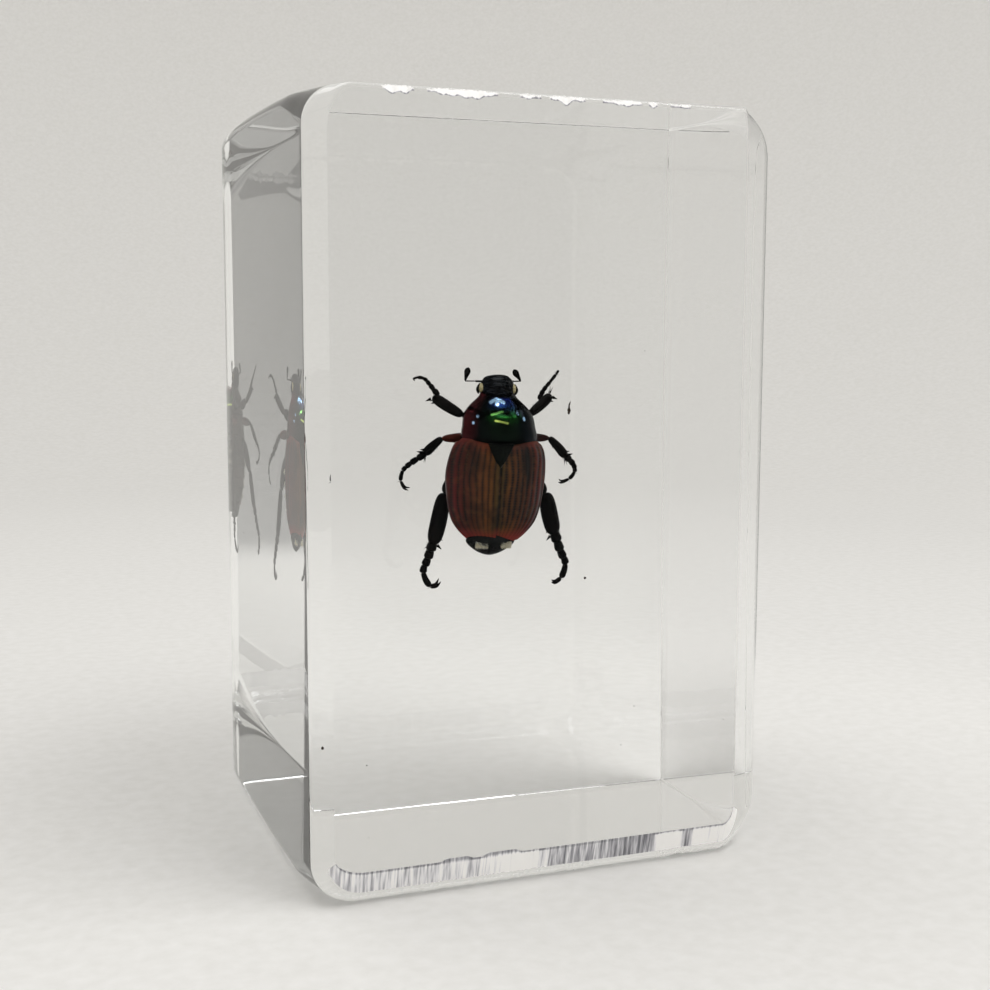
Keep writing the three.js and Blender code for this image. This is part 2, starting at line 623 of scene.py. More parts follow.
def makeSheets():
    for name, facts in sheets.items():
        material, tree, shader = startMaterial(name + "Paper")
        tone = facts["tone"]
        shade = ramp(tree, attributeValue(tree, "shade"), (
            (0.0, (0.80, 0.79, 0.775)), (1.0, (tone, tone, tone))))
        tree.links.new(shade, shader.inputs["Base Color"])
        shader.inputs["Roughness"].default_value = 0.9
        left, leftFull, rightFull, right = facts["bearings"]
        total = facts["far"] - facts["near"][0] + facts["top"][1]
        bm = bmesh.new()
        layer = bm.verts.layers.float.new("shade")
        bmesh.ops.create_grid(bm, x_segments=60, y_segments=90, size=0.5)
        for vert in bm.verts:
            bearing = between(left, right, vert.co.x + 0.5)
            distance, height = sheetPoint(facts, (vert.co.y + 0.5) * total)
            across = easeStep(left, leftFull, bearing) * (1 - easeStep(rightFull, right, bearing))
            vert[layer] = across * easeStep(*facts["near"], distance) * (1 - easeStep(*facts["top"], height))
            angle = math.radians(bearing)
            vert.co = Vector((distance * math.sin(angle), -distance * math.cos(angle), height + sheetGap))
        mesh = bpy.data.meshes.new(name)
        bm.to_mesh(mesh)
        bm.free()
        mesh.materials.append(material)
        sheet = bpy.data.objects.new(name, mesh)
        # the sheets light nothing and are never seen directly: they only paint reflections and shade
        sheet.visible_camera = False
        sheet.visible_diffuse = False
        sheet.visible_shadow = False
        sheet.visible_glossy = facts["mirrored"]
        sheet.visible_transmission = not facts["mirrored"]
        scene.collection.objects.link(sheet)


makeFloor()
makeLight()
makeSheets()
print("floor and light ready")


# shell finishes

def darkShell(name, tint, sheen, metallic, roughness, coat=0.1):
    # the shell changes slowly from tint to sheen
    material, tree, shader = startMaterial(name)
    slow = objectNoise(tree, 220, 3)
    fine = objectNoise(tree, 6500, 3)
    tree.links.new(ramp(tree, slow, ((0.38, tint), (0.62, sheen))), shader.inputs["Base Color"])
    shader.inputs["Metallic"].default_value = metallic
    tree.links.new(mapTo(tree, fine, roughness * 0.7, roughness * 1.4), shader.inputs["Roughness"])
    shader.inputs["Specular IOR Level"].default_value = 0.06
    shader.inputs["Coat Weight"].default_value = coat
    shader.inputs["Coat Roughness"].default_value = 0.08
    addBump(tree, shader, fine, 0.25, 0.00003)
    return material


def pronotumShell():
    # green-black, wine red along the left margin, with small painted highlights in blue, green and yellow
    material, tree, shader = startMaterial("pronotumShell")
    front = attributeValue(tree, "along")
    side = attributeValue(tree, "across")
    fine = objectNoise(tree, 6500, 3)
    length = ramp(tree, front, (
        (0.0, (0.002, 0.005, 0.003)), (0.42, (0.002, 0.007, 0.003)), (0.58, (0.006, 0.050, 0.007)),
        (0.70, (0.004, 0.018, 0.012)), (0.84, (0.004, 0.014, 0.070)), (0.93, (0.004, 0.010, 0.090)),
        (1.0, (0.002, 0.004, 0.012))))
    middle = mixColour(tree, mapTo(tree, side, 0.0, 1.0, 0.24, 0.36), (0.002, 0.004, 0.004), length)
    right = mixColour(tree, mapTo(tree, side, 0.0, 1.0, 0.66, 0.80), middle, (0.002, 0.004, 0.006))
    red = mixColour(tree, mapTo(tree, side, 1.0, 0.0, 0.05, 0.20), right, (0.042, 0.005, 0.007))
    # painted highlights: blue, green and yellow patches laid over the shell colour
    blue = mixColour(tree, attributeValue(tree, "paintedBlueHighlight"), red, (0.42, 0.68, 1.0))
    green = mixColour(tree, attributeValue(tree, "paintedGreenHighlight"), blue, (0.30, 0.80, 0.20))
    yellow = mixColour(tree, attributeValue(tree, "paintedYellowHighlight"), green, (0.75, 0.95, 0.22))
    tree.links.new(yellow, shader.inputs["Base Color"])
    shader.inputs["Metallic"].default_value = 0.9
    shader.inputs["Specular IOR Level"].default_value = 0.15
    tree.links.new(mapTo(tree, fine, 0.08, 0.16), shader.inputs["Roughness"])
    addBump(tree, shader, fine, 0.18, 0.00003)
    return material


def wingCaseShell(name, dulling):
    # dulling: how much the light streaks are held back
    material, tree, shader = startMaterial(name)
    side = attributeValue(tree, "across")
    along = attributeValue(tree, "along")
    groove = attributeValue(tree, "groove")
    streak = objectNoise(tree, 1500, 4)
    slow = objectNoise(tree, 420, 3)
    across = ramp(tree, side, (
        (0.0, (0.006, 0.008, 0.004)), (0.05, (0.075, 0.042, 0.010)), (0.22, (0.150, 0.052, 0.010)),
        (0.45, (0.110, 0.036, 0.012)), (0.70, (0.085, 0.018, 0.010)), (0.90, (0.110, 0.012, 0.012)),
        (1.0, (0.060, 0.006, 0.008))))
    apex = mixColour(tree, mapTo(tree, along, 0.0, 0.85, 0.86, 0.97), across, (0.30, 0.030, 0.022))
    shoulder = mixColour(tree, mapTo(tree, along, 0.55, 0.0, 0.02, 0.14), apex, (0.20, 0.026, 0.016))
    mottled = mixColour(tree, mapTo(tree, slow, 0.0, 0.65, 0.42, 0.64), shoulder, (0.022, 0.009, 0.006))
    grooved = mixColour(tree, groove, mottled, (0.006, 0.005, 0.004))
    lifted = mixColour(tree, mapTo(tree, streak, 0.0, 0.30, 0.5, 0.75), grooved, (0.24, 0.10, 0.03))
    shaded = mixColour(tree, dulling, lifted, grooved)
    patch = mixColour(tree, attributeValue(tree, "patch"), shaded, (0.004, 0.004, 0.004))
    tree.links.new(patch, shader.inputs["Base Color"])
    shader.inputs["Metallic"].default_value = 0.25
    shader.inputs["Specular IOR Level"].default_value = 0.2
    tree.links.new(mapTo(tree, streak, 0.28, 0.45), shader.inputs["Roughness"])
    addBump(tree, shader, streak, 0.25, 0.00004)
    return material


def plainFinish(name, low, high, roughness, scale):
    material, tree, shader = startMaterial(name)
    pattern = objectNoise(tree, scale, 4)
    tree.links.new(ramp(tree, pattern, ((0.35, low), (0.65, high))), shader.inputs["Base Color"])
    shader.inputs["Roughness"].default_value = roughness
    addBump(tree, shader, pattern, 0.3, 0.00002)
    return material


finishes = {
    "legs": darkShell("legShell", (0.0012, 0.0012, 0.0012), (0.003, 0.002, 0.0015), 0.0, 0.4, 0.0),
    "thigh": darkShell("redLegShell", (0.075, 0.014, 0.008), (0.020, 0.006, 0.005), 0.0, 0.35, 0.0),
    "head": darkShell("headShell", (0.003, 0.004, 0.005), (0.004, 0.006, 0.016), 0.6, 0.2),
    "pronotum": pronotumShell(),
    "scutellum": darkShell("scutellumShell", (0.002, 0.003, 0.002), (0.003, 0.005, 0.003), 0.4, 0.3, 0.0),
    "under": darkShell("undersideShell", (0.030, 0.014, 0.010), (0.012, 0.014, 0.010), 0.4, 0.3),
    "pygidium": darkShell("pygidiumShell", (0.003, 0.003, 0.003), (0.005, 0.006, 0.006), 0.3, 0.25),
    "hair": plainFinish("ivoryHair", (0.92, 0.85, 0.62), (1.0, 0.97, 0.84), 0.6, 5000),
    "eye": plainFinish("paleEye", (0.42, 0.34, 0.16), (0.66, 0.58, 0.34), 0.22, 14000),
    "debris": plainFinish("brownDebris", (0.010, 0.006, 0.004), (0.060, 0.030, 0.014), 0.7, 4000),
    "leftCase": wingCaseShell("leftWingCase", 0.35),
    "rightCase": wingCaseShell("rightWingCase", 0.25),
}
print("finishes mixed")


# the beetle
# its own frame in mm: X to its right as seen, Z towards the head, -Y out of its back

beetleFacts = {
    "place": (-0.15, 3.80, 31.49),
    "lean": math.radians(2.57),
    "size": 1.0238,
    "bodyTurn": math.radians(-3),
}
beetlePlace = (Matrix.Translation(beetleFacts["place"]) @ Matrix.Rotation(beetleFacts["lean"], 4, "Y")
               @ Matrix.Scale(beetleFacts["size"], 4))
bodyPlace = beetlePlace @ Matrix.Rotation(beetleFacts["bodyTurn"], 4, "Z")


def addForm(bm, path, widths, depths, across=(1, 0, 0), around=20, rings=28):
    # a closed rounded form along a path; widths and depths are (share, half size) stops
    made = bmesh.ops.create_uvsphere(bm, u_segments=around, v_segments=rings, radius=1.0)["verts"]
    side = Vector(across)
    for vert in made:
        share = math.acos(clamp(vert.co.z, -1, 1)) / math.pi
        turn = math.atan2(vert.co.y, vert.co.x)
        onAxis = vert.co.xy.length < 1e-5
        here = curvePoint(path, share)
        ahead = curvePoint(path, min(share + 0.02, 1)) - curvePoint(path, max(share - 0.02, 0))
        first = (side - ahead.normalized() * side.dot(ahead.normalized())).normalized()
        second = ahead.cross(first).normalized()
        fullness = 0.0 if onAxis else min(1.0, math.sqrt(max(1 - (2 * share - 1) ** 8, 0)))
        vert.co = (here + first * math.cos(turn) * runThrough(widths, share) * fullness
                   + second * math.sin(turn) * runThrough(depths, share) * fullness)
    return made


def writeValues(bm, names, values):
    # one float layer for each name, from the values kept for every vertex
    for name in names:
        layer = bm.verts.layers.float.new(name)
        for vert in bm.verts:
            vert[layer] = values[vert.index][name]


def addSpike(bm, base, tip, radius, sides=8):
    base, tip = Vector(base), Vector(tip)
    line = tip - base
    aim = line.to_track_quat("Z", "Y").to_matrix().to_4x4()
    bmesh.ops.create_cone(bm, cap_ends=True, cap_tris=True, segments=sides, radius1=radius,
                          radius2=radius * 0.08, depth=line.length,
                          matrix=Matrix.Translation((base + tip) / 2) @ aim)


wingCase = {
    "halfWidths": ((-6.3, 1.90), (-6.05, 2.22), (-5.64, 2.70), (-5.1, 3.20), (-4.55, 3.56), (-3.7, 3.86),
                   (-2.3, 4.11), (-0.4, 4.27), (1.25, 4.08), (2.3, 3.45)),
    "heights": ((-6.1, 0.90), (-5.0, 1.40), (-3.2, 1.90), (-0.5, 2.12), (1.2, 1.92), (2.3, 1.55)),
    "frontEdge": (1.90, 2.30),   # level at the seam and towards the side
    "shoulderRounding": 0.5,
    "leftShoulder": 0.085,       # how much narrower the left case is towards its shoulder
    "tip": -6.30,
    "tipNotch": 0.30,
    "seamGap": 0.012,
    "grooves": 8.6,
    "grooveWander": 0.030,
    "grooveDepth": 0.075,
    "grooveWidth": 0.29,
    "pitting": 0.22,
    "rimHeight": 0.09,
    "shoulderHump": 0.22,
    "patchStrength": {-1: 0.45, 1: 0.95},
    "thickness": 0.12,
    "edgeDepth": 0.35,
}


def caseSurface(share, along):
    # share: 0 at the middle seam, 1 at the outer rim; along: 0 at the shoulder, 1 at the tip
    shoulder = between(*wingCase["frontEdge"], easeStep(0, 0.9, share))
    shoulder -= wingCase["shoulderRounding"] * easeStep(0.88, 1.0, share)
    tip = wingCase["tip"] + 0.14 * share ** 4 + wingCase["tipNotch"] * bump(share, 0, 0.09)
    z = between(shoulder, tip, along)
    halfWidth = runThrough(wingCase["halfWidths"], z)
    height = runThrough(wingCase["heights"], z)
    lift = height * (1 - share ** 2.3) ** 0.62
    return halfWidth * share, wingCase["edgeDepth"] - lift, z


def makeWingCase(side, material):
    bm = bmesh.new()
    bmesh.ops.create_grid(bm, x_segments=170, y_segments=190, size=0.5)
    values = {}
    for vert in bm.verts:
        share, along = vert.co.x + 0.5, vert.co.y + 0.5
        x, y, z = caseSurface(share, along)
        gather = easeStep(0.72, 1.0, along)
        wander = noise.noise((share * 5, side * 3, z * 0.45)) * wingCase["grooveWander"]
        line = ((share + wander) * wingCase["grooves"]) % 1.0
        near = min(line, 1 - line)
        pits = 0.75 + 0.25 * math.cos(z / wingCase["pitting"] * math.tau)
        strength = (1 - 0.8 * gather) * easeStep(0.03, 0.10, along) * (1 - 0.5 * easeStep(0.9, 1.0, share))
        dip = bump(near, 0, wingCase["grooveWidth"]) * pits * strength
        rim = wingCase["rimHeight"] * bump(share, 0.985, 0.02)
        hump = wingCase["shoulderHump"] * bump(share, 0.74, 0.13) * bump(along, 0.10, 0.09)
        if side < 0:
            x *= 1 - wingCase["leftShoulder"] * easeStep(-1.5, 2.0, z)
        sunk = y + dip * wingCase["grooveDepth"] - rim - hump
        vert.co = Vector((side * (x + wingCase["seamGap"]), sunk, z))
        ragged = noise.noise((x * 1.6, side * 5, z * 0.9)) * 0.12
        blotch = bump(share, 0.55 + ragged * 0.4, 0.095) * (1 - easeStep(0.36, 0.50, along + ragged))
        patch = clamp(blotch * wingCase["patchStrength"][side] * easeStep(0.04, 0.1, along))
        values[vert.index] = {"across": share, "along": along, "groove": clamp(dip * 1.3), "patch": patch}
    writeValues(bm, ("across", "along", "groove", "patch"), values)
    bmesh.ops.recalc_face_normals(bm, faces=bm.faces)
    bmesh.ops.solidify(bm, geom=bm.faces[:], thickness=wingCase["thickness"])
    name = "beetle_wing_case_right" if side > 0 else "beetle_wing_case_left"
    makePiece(name, bm, material, bodyPlace)


pronotum = {
    "halfWidths": ((1.6, 3.25), (2.2, 3.31), (2.7, 3.26), (3.2, 3.16), (3.94, 3.04), (4.47, 2.80),
                   (5.0, 2.33), (5.6, 1.66), (5.95, 1.45)),
    "heights": ((1.6, 1.80), (2.6, 1.98), (3.8, 1.92), (4.6, 1.62), (5.2, 1.25), (5.95, 0.85)),
    "base": 2.15,
    "baseLobe": 0.42,
    "front": 5.60,
    "frontHollow": 0.35,
    "slant": -0.09,      # the front lies a little to the left
    "slantLevel": 3.4,
    "sideRoll": 0.07,
    "frontRoll": 0.04,
    "baseDrop": 0.10,
    "thickness": 0.2,
    "edgeDepth": 0.12,
}

# painted highlights on the pronotum, as lines from one place to another with a half width
paintedHighlights = {
    "paintedBlueHighlight": (
        ((-0.98, 5.17), (-0.52, 5.44), 0.15), ((-0.52, 5.44), (0.12, 5.20), 0.15),
        ((-0.46, 5.05), (-0.46, 5.35), 0.17),
        ((-2.07, 4.01), (-2.05, 4.06), 0.12), ((-2.39, 3.44), (-2.39, 3.50), 0.10),
        ((1.25, 4.44), (1.31, 4.30), 0.12), ((1.86, 3.96), (1.90, 3.84), 0.12),
    ),
    "paintedGreenHighlight": (((-0.95, 4.18), (-0.02, 4.46), 0.10),),
    "paintedYellowHighlight": (((-0.64, 3.71), (0.40, 3.53), 0.09),),
}


# how much of one painted highlight line covers this point
def paintedHighlightShare(line, x, z):
    start, end, halfWidth = Vector(line[0]), Vector(line[1]), line[2]
    span = end - start
    here = Vector((x, z)) - start
    away = (here - span * clamp(here.dot(span) / span.length_squared)).length
    return easeStep(1.25, 0.55, away / halfWidth)


def makePronotum(material):
    bm = bmesh.new()
    bmesh.ops.create_grid(bm, x_segments=150, y_segments=110, size=0.5)
    values = {}
    for vert in bm.verts:
        share, along = vert.co.x * 2, vert.co.y + 0.5
        base = pronotum["base"] - pronotum["baseLobe"] * (1 - share ** 2) ** 2 - 0.10 * share ** 6
        front = pronotum["front"] + pronotum["frontHollow"] * share ** 2
        z = between(base, front, along)
        lift = runThrough(pronotum["heights"], z) * (1 - abs(share) ** 2.2) ** 0.6
        edgeRoll = pronotum["sideRoll"] * bump(abs(share), 0.975, 0.025)
        edgeRoll += pronotum["frontRoll"] * bump(along, 0.985, 0.02)
        edgeDrop = pronotum["baseDrop"] * easeStep(0.10, 0.0, along)
        slant = pronotum["slant"] * (z - pronotum["slantLevel"])
        x = runThrough(pronotum["halfWidths"], z) * share + slant
        vert.co = Vector((x, pronotum["edgeDepth"] - lift - edgeRoll + edgeDrop, z))
        values[vert.index] = {"across": share * 0.5 + 0.5, "along": along}
        # how strongly each painted highlight covers this point
        for name, lines in paintedHighlights.items():
            values[vert.index][name] = max(paintedHighlightShare(line, x, z) for line in lines)
    writeValues(bm, ("across", "along", *paintedHighlights), values)
    bmesh.ops.recalc_face_normals(bm, faces=bm.faces)
    bmesh.ops.solidify(bm, geom=bm.faces[:], thickness=pronotum["thickness"])
    makePiece("beetle_pronotum", bm, material, bodyPlace)


scutellum = {
    "halfWidth": 1.10,
    "base": 1.85,
    "tip": -0.10,
    "height": 1.97,
    "offset": -0.06,
    "thickness": 0.14,
}


def makeScutellum(material):
    bm = bmesh.new()
    bmesh.ops.create_grid(bm, x_segments=40, y_segments=40, size=0.5)
    for vert in bm.verts:
        share, along = vert.co.x * 2, vert.co.y + 0.5
        halfWidth = scutellum["halfWidth"] * (1 - along) ** 0.8 + 0.03
        z = between(scutellum["base"], scutellum["tip"], along)
        swell = 0.06 * (1 - share ** 4) * (1 - along) - 0.16 * share ** 2 - 0.02 * along
        vert.co = Vector((share * halfWidth + scutellum["offset"], -scutellum["height"] - swell, z))
    bmesh.ops.recalc_face_normals(bm, faces=bm.faces)
    bmesh.ops.solidify(bm, geom=bm.faces[:], thickness=scutellum["thickness"])
    makePiece("beetle_scutellum", bm, material, bodyPlace)


head = {
    "skull": {
        "path": ((-0.12, 0.55, 5.2), (-0.18, 0.50, 6.2), (-0.28, 0.62, 7.0), (-0.33, 0.85, 7.36)),
        "widths": ((0, 1.30), (0.3, 1.50), (0.5, 1.46), (0.72, 1.18), (0.9, 0.94), (1, 0.75)),
        "depths": ((0, 0.75), (0.4, 0.80), (0.7, 0.52), (0.9, 0.26), (1, 0.16)),
        "around": 64,
        "rings": 64,
    },
    "seamLevel": 6.78,
    "rimLevel": 7.30,
    "middle": -0.20,
    "eyePlace": (1.42, 0.38, 6.30),
    "eyeShape": (0.56, 0.95, 1.02),
    "eyeRadius": 0.40,
    "eyeRim": 1.68,
}


def makeHead():
    bm = bmesh.new()
    for vert in addForm(bm, **head["skull"]):
        if vert.co.y < 0.6:
            seam = 0.05 * bump(vert.co.z, head["seamLevel"], 0.05)
            rim = 0.06 * bump(vert.co.z, head["rimLevel"], 0.06)
            vert.co.y += seam - rim
    makePiece("beetle_head", bm, finishes["head"], beetlePlace)
    bm = bmesh.new()
    out, back, level = head["eyePlace"]
    for side in (-1, 1):
        place = Matrix.Translation((side * out + head["middle"], back, level))
        shape = Matrix.Diagonal((*head["eyeShape"], 1))
        bmesh.ops.create_icosphere(bm, subdivisions=4, radius=head["eyeRadius"], matrix=place @ shape)
    makePiece("beetle_eyes", bm, finishes["eye"], beetlePlace)
    bm = bmesh.new()
    for side in (-1, 1):
        # the dark rim outside each eye, jaws, palps
        edge = side * head["eyeRim"] + head["middle"]
        rimPath = ((edge - side * 0.10, 0.36, 5.80), (edge + side * 0.04, 0.34, 6.22),
                   (edge - side * 0.16, 0.36, 6.70))
        addForm(bm, rimPath, ((0, 0.08), (0.5, 0.10), (1, 0.05)), ((0, 0.20), (0.5, 0.25), (1, 0.10)),
                around=14, rings=20)
        addForm(bm, ((side * 0.35, 0.95, 6.6), (side * 0.50, 1.10, 7.05), (side * 0.20, 1.15, 7.35)),
                ((0, 0.18), (0.6, 0.16), (1, 0.07)), ((0, 0.14), (1, 0.06)), rings=14)
        addForm(bm, ((side * 0.55, 1.15, 6.5), (side * 0.85, 1.35, 6.85), (side * 0.78, 1.45, 7.15)),
                ((0, 0.07), (0.7, 0.08), (1, 0.06)), ((0, 0.07), (1, 0.06)), around=10, rings=12)
    makePiece("beetle_mouthparts", bm, finishes["legs"], beetlePlace)


# root, end of the first joint, elbow at the club, tip of the club
antennae = {
    "left": ((-1.20, 0.65, 6.82), (-2.05, 0.90, 6.82), (-2.85, 1.00, 6.80), (-2.62, 0.95, 7.92)),
    "right": ((0.75, 0.65, 6.88), (1.38, 0.90, 6.92), (2.00, 1.00, 6.96), (1.30, 0.95, 7.88)),
}


def makeAntenna(name):
    root, mid, elbow, tip = antennae[name]
    bm = bmesh.new()
    addForm(bm, (root, mid), ((0, 0.09), (0.8, 0.11), (1, 0.08)), ((0, 0.09), (1, 0.08)),
            around=12, rings=14)
    beads = 5
    for i in range(beads):
        start = Vector(mid).lerp(Vector(elbow), i / beads)
        end = Vector(mid).lerp(Vector(elbow), (i + 1.08) / beads)
        addForm(bm, (start, end), ((0, 0.055), (0.7, 0.075), (1, 0.05)), ((0, 0.055), (1, 0.05)),
                around=10, rings=10)
    for leaf in (-1, 0, 1):
        # three leaves of the club
        shift = Vector((0.03 * leaf, 0.09 * leaf, 0))
        start, end = Vector(elbow) + shift * 0.3, Vector(tip) + shift
        addForm(bm, (start, start.lerp(end, 0.5), end), ((0, 0.08), (0.3, 0.15), (0.7, 0.27), (1, 0.15)),
                ((0, 0.04), (0.7, 0.06), (1, 0.04)), around=14, rings=20)
    makePiece("beetle_antenna_" + name, bm, finishes["legs"], beetlePlace)


undersideForms = {
    "abdomen": {
        "path": ((0, 0.55, 2.6), (0, 0.60, 0.0), (0, 0.50, -3.5), (0, 0.30, -6.2)),
        "widths": ((0, 2.6), (0.2, 3.7), (0.5, 3.92), (0.8, 3.1), (1, 1.7)),
        "depths": ((0, 1.0), (0.3, 1.35), (0.6, 1.25), (1, 0.5)),
        "around": 72,
        "rings": 110,
    },
    "thorax": {
        "path": ((0, 0.70, 5.4), (0, 0.80, 3.6), (0, 0.95, 1.6), (0, 0.90, -0.4)),
        "widths": ((0, 1.3), (0.25, 2.5), (0.5, 2.85), (0.8, 3.0), (1, 2.2)),
        "depths": ((0, 0.6), (0.3, 0.95), (0.7, 1.10), (1, 0.8)),
        "around": 72,
        "rings": 80,
    },
    "pygidium": {
        "path": ((-0.30, -0.10, -5.1), (-0.33, 0.05, -6.3), (-0.33, 0.42, -7.44)),
        "widths": ((0, 1.5), (0.3, 1.75), (0.46, 2.12), (0.6, 1.95), (0.85, 1.18), (1, 0.6)),
        "depths": ((0, 0.60), (0.5, 0.75), (1, 0.35)),
        "around": 56,
        "rings": 60,
    },
}
bellyPlate = {"count": 5, "first": -0.2, "pitch": 1.05, "step": 0.10}


def makeUnderside():
    bm = bmesh.new()
    for vert in addForm(bm, **undersideForms["abdomen"]):
        # belly plates overlap towards the tail
        if vert.co.y > 0.6 and vert.co.z < bellyPlate["first"]:
            plate = ((bellyPlate["first"] - vert.co.z) / bellyPlate["pitch"]) % 1.0
            vert.co.y += bellyPlate["step"] * plate
    makePiece("beetle_abdomen", bm, finishes["under"], beetlePlace)
    bm = bmesh.new()
    for vert in addForm(bm, **undersideForms["thorax"]):
        # a seam across and one along the middle
        if vert.co.y > 0.7:
            vert.co.y -= 0.16 * bump(vert.co.z, 2.75, 0.12)
            vert.co.y -= 0.08 * bump(vert.co.x, 0, 0.08)
    makePiece("beetle_thorax_underside", bm, finishes["under"], beetlePlace)
    bm = bmesh.new()
    addForm(bm, **undersideForms["pygidium"])
    makePiece("beetle_pygidium", bm, finishes["pygidium"], beetlePlace)


# place across and half width of the two pale patches at the tail
tailPatches = ((-1.18, 0.55), (0.95, 0.45))


def makeHairTufts():
    # the patches at the tail, then a row of small tufts down each side of the belly
    pick = random.Random(7)
    bm = bmesh.new()
    patches = [((x, -0.45, -6.50), (spread, 0.10, 0.24), (0, -0.7, -0.75), 800)
               for x, spread in tailPatches]
    for side in (-1, 1):
        for i in range(bellyPlate["count"]):
            z = -0.9 - bellyPlate["pitch"] * i
            x = side * (3.55 - 0.10 * i * i)
            patches.append(((x, 1.15, z), (0.22, 0.25, 0.20), (side * 0.5, 0.5, -0.6), 130))
    for middle, spread, lie, count in patches:
        for _ in range(count):
            root = Vector(m + pick.uniform(-1, 1) * s for m, s in zip(middle, spread))
            aim = Vector(l + pick.uniform(-0.3, 0.3) for l in lie).normalized()
            addSpike(bm, root, root + aim * pick.uniform(0.16, 0.30), 0.014, sides=3)
    makePiece("beetle_hair_tufts", bm, finishes["hair"], beetlePlace)


# each leg: hip, knee, end of shin, then the foot's path and the tip of the claws;
# outer tells which edge of the shin has the teeth
legs = {
    "front_left": {
        "hip": (-0.9, 1.7, 3.7), "knee": (-2.74, 2.1, 3.99), "ankle": (-5.08, 3.2, 5.42),
        "foot": ((-4.60, 3.1, 5.50), (-5.30, 3.4, 6.33), (-5.75, 3.8, 6.84), (-6.25, 4.1, 6.90)),
        "claw": (-6.42, 4.3, 6.60), "outer": 1,
        "thigh": 0.50, "shin": (0.40, 0.46), "toe": 0.22, "teeth": 3,
    },
    "front_right": {
        "hip": (0.9, 1.7, 3.7), "knee": (3.24, 2.1, 4.24), "ankle": (5.31, 3.1, 5.87),
        "foot": ((4.25, 3.0, 5.45), (4.62, 3.3, 6.17), (5.33, 3.7, 6.95), (5.89, 3.9, 7.60)),
        "claw": (6.02, 4.0, 7.85), "outer": -1,
        "thigh": 0.50, "shin": (0.38, 0.44), "toe": 0.22, "teeth": 3,
    },
    "mid_left": {
        "hip": (-1.3, 1.9, 2.2), "knee": (-4.40, 2.2, 2.00), "ankle": (-5.62, 3.1, 0.63),
        "foot": ((-5.50, 3.0, 0.72), (-6.63, 3.6, -0.12), (-7.29, 3.8, -0.80), (-7.45, 3.7, -1.62)),
        "claw": (-6.68, 3.6, -2.27), "outer": -1,
        "thigh": 0.41, "shin": (0.32, 0.40), "toe": 0.27, "teeth": 2,
    },
    "mid_right": {
        "hip": (1.3, 1.9, 2.3), "knee": (5.12, 2.2, 2.25), "ankle": (6.92, 3.0, 0.65),
        "foot": ((6.80, 2.9, 0.80), (7.71, 3.4, 0.04), (7.94, 3.6, -0.65), (7.46, 3.6, -1.26)),
        "claw": (6.43, 3.5, -1.40), "outer": 1,
        "thigh": 0.41, "shin": (0.32, 0.40), "toe": 0.27, "teeth": 2,
    },
    "hind_left": {
        "hip": (-1.6, 2.0, 0.2), "knee": (-4.02, 2.2, -2.55), "ankle": (-4.60, 3.0, -6.85),
        "foot": ((-4.60, 3.0, -6.60), (-4.91, 3.4, -7.99), (-5.23, 3.7, -9.28), (-4.52, 4.0, -10.45)),
        "claw": (-3.64, 4.1, -9.90), "outer": 1,
        "thigh": 0.82, "shin": (0.64, 0.70), "toe": 0.41, "teeth": 2,
    },
    "hind_right": {
        "hip": (1.6, 2.0, 0.2), "knee": (4.98, 2.1, -2.45), "ankle": (6.15, 2.9, -5.98),
        "foot": ((6.10, 2.9, -5.70), (6.85, 3.3, -7.36), (7.53, 3.7, -8.62), (7.25, 4.0, -9.86)),
        "claw": (6.37, 4.1, -10.12), "outer": -1,
        "thigh": 0.88, "shin": (0.68, 0.72), "toe": 0.43, "teeth": 2,
    },
}


toBelly = Vector((0, 1, 0))
hipSocket = Vector((0, -0.35, 0.1))
thighSag = Vector((0, 0.18, 0))
toothPitch = 0.17
spurTurns = (-0.4, 0.35)
bristles = 26
footJoints = (0.0, 0.17, 0.33, 0.49, 0.65, 1.0)   # shares of the foot's path where its five parts meet
jointOverlap = 0.012


